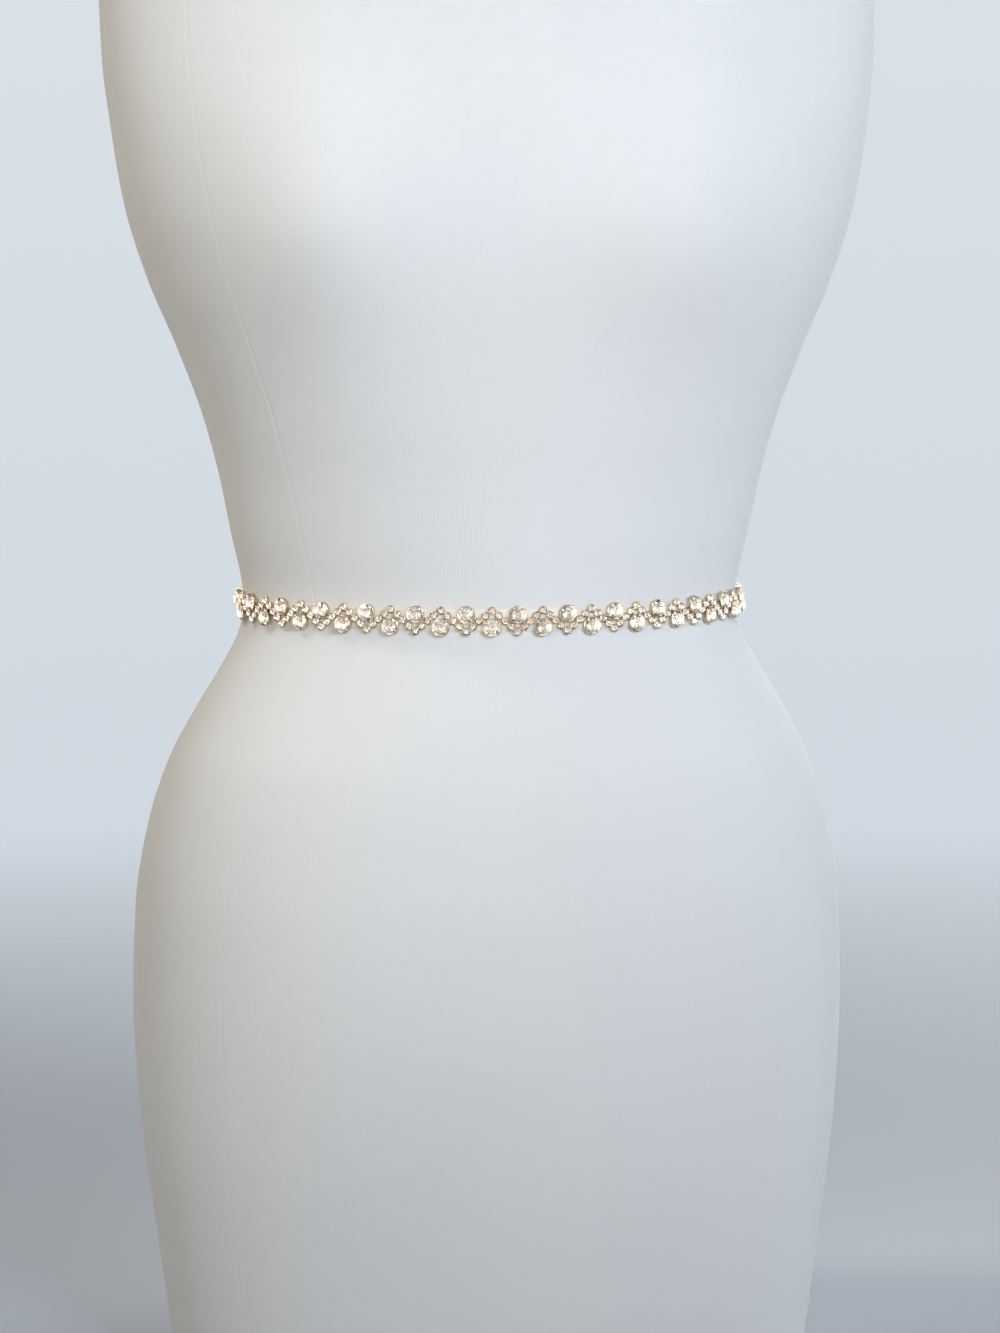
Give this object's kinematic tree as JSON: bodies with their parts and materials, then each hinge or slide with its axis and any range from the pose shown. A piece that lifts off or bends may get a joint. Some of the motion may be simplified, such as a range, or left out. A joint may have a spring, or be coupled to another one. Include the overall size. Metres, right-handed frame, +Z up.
{
  "type": "bridal sash on a dress form",
  "caption": "Narrow satin ribbon sash with an alternating rhinestone trim round the front, knotted at the back of a limbless dress form.",
  "frame": {"origin": "middle of the dress form's flat base, straight below the middle of its waist", "axes": "+Z up along the form, -Y the front with the trim, +X the form's left, which is the right of the picture"},
  "size_m": [0.3538, 0.2466, 0.795],
  "materials": {
    "form_jersey": "fine off-white knit jersey, stretched smooth",
    "ribbon_satin": "ivory satin with a soft sheen",
    "trim_gold": "pale gold cups set with clear faceted rhinestones"
  },
  "bodies": {
    "root": {"dress_form": "form_jersey", "sash_ribbon_front": "ribbon_satin", "sash_ribbon_left": "ribbon_satin", "sash_ribbon_right": "ribbon_satin", "sash_knot": "ribbon_satin", "sash_tail_left": "ribbon_satin", "sash_tail_right": "ribbon_satin", "trim_stretch_1": "trim_gold", "trim_stretch_2": "trim_gold", "trim_stretch_3": "trim_gold", "trim_stretch_4": "trim_gold", "trim_stretch_5": "trim_gold", "trim_stretch_6": "trim_gold", "trim_stretch_7": "trim_gold", "trim_stretch_8": "trim_gold"}
  },
  "joints": []
}
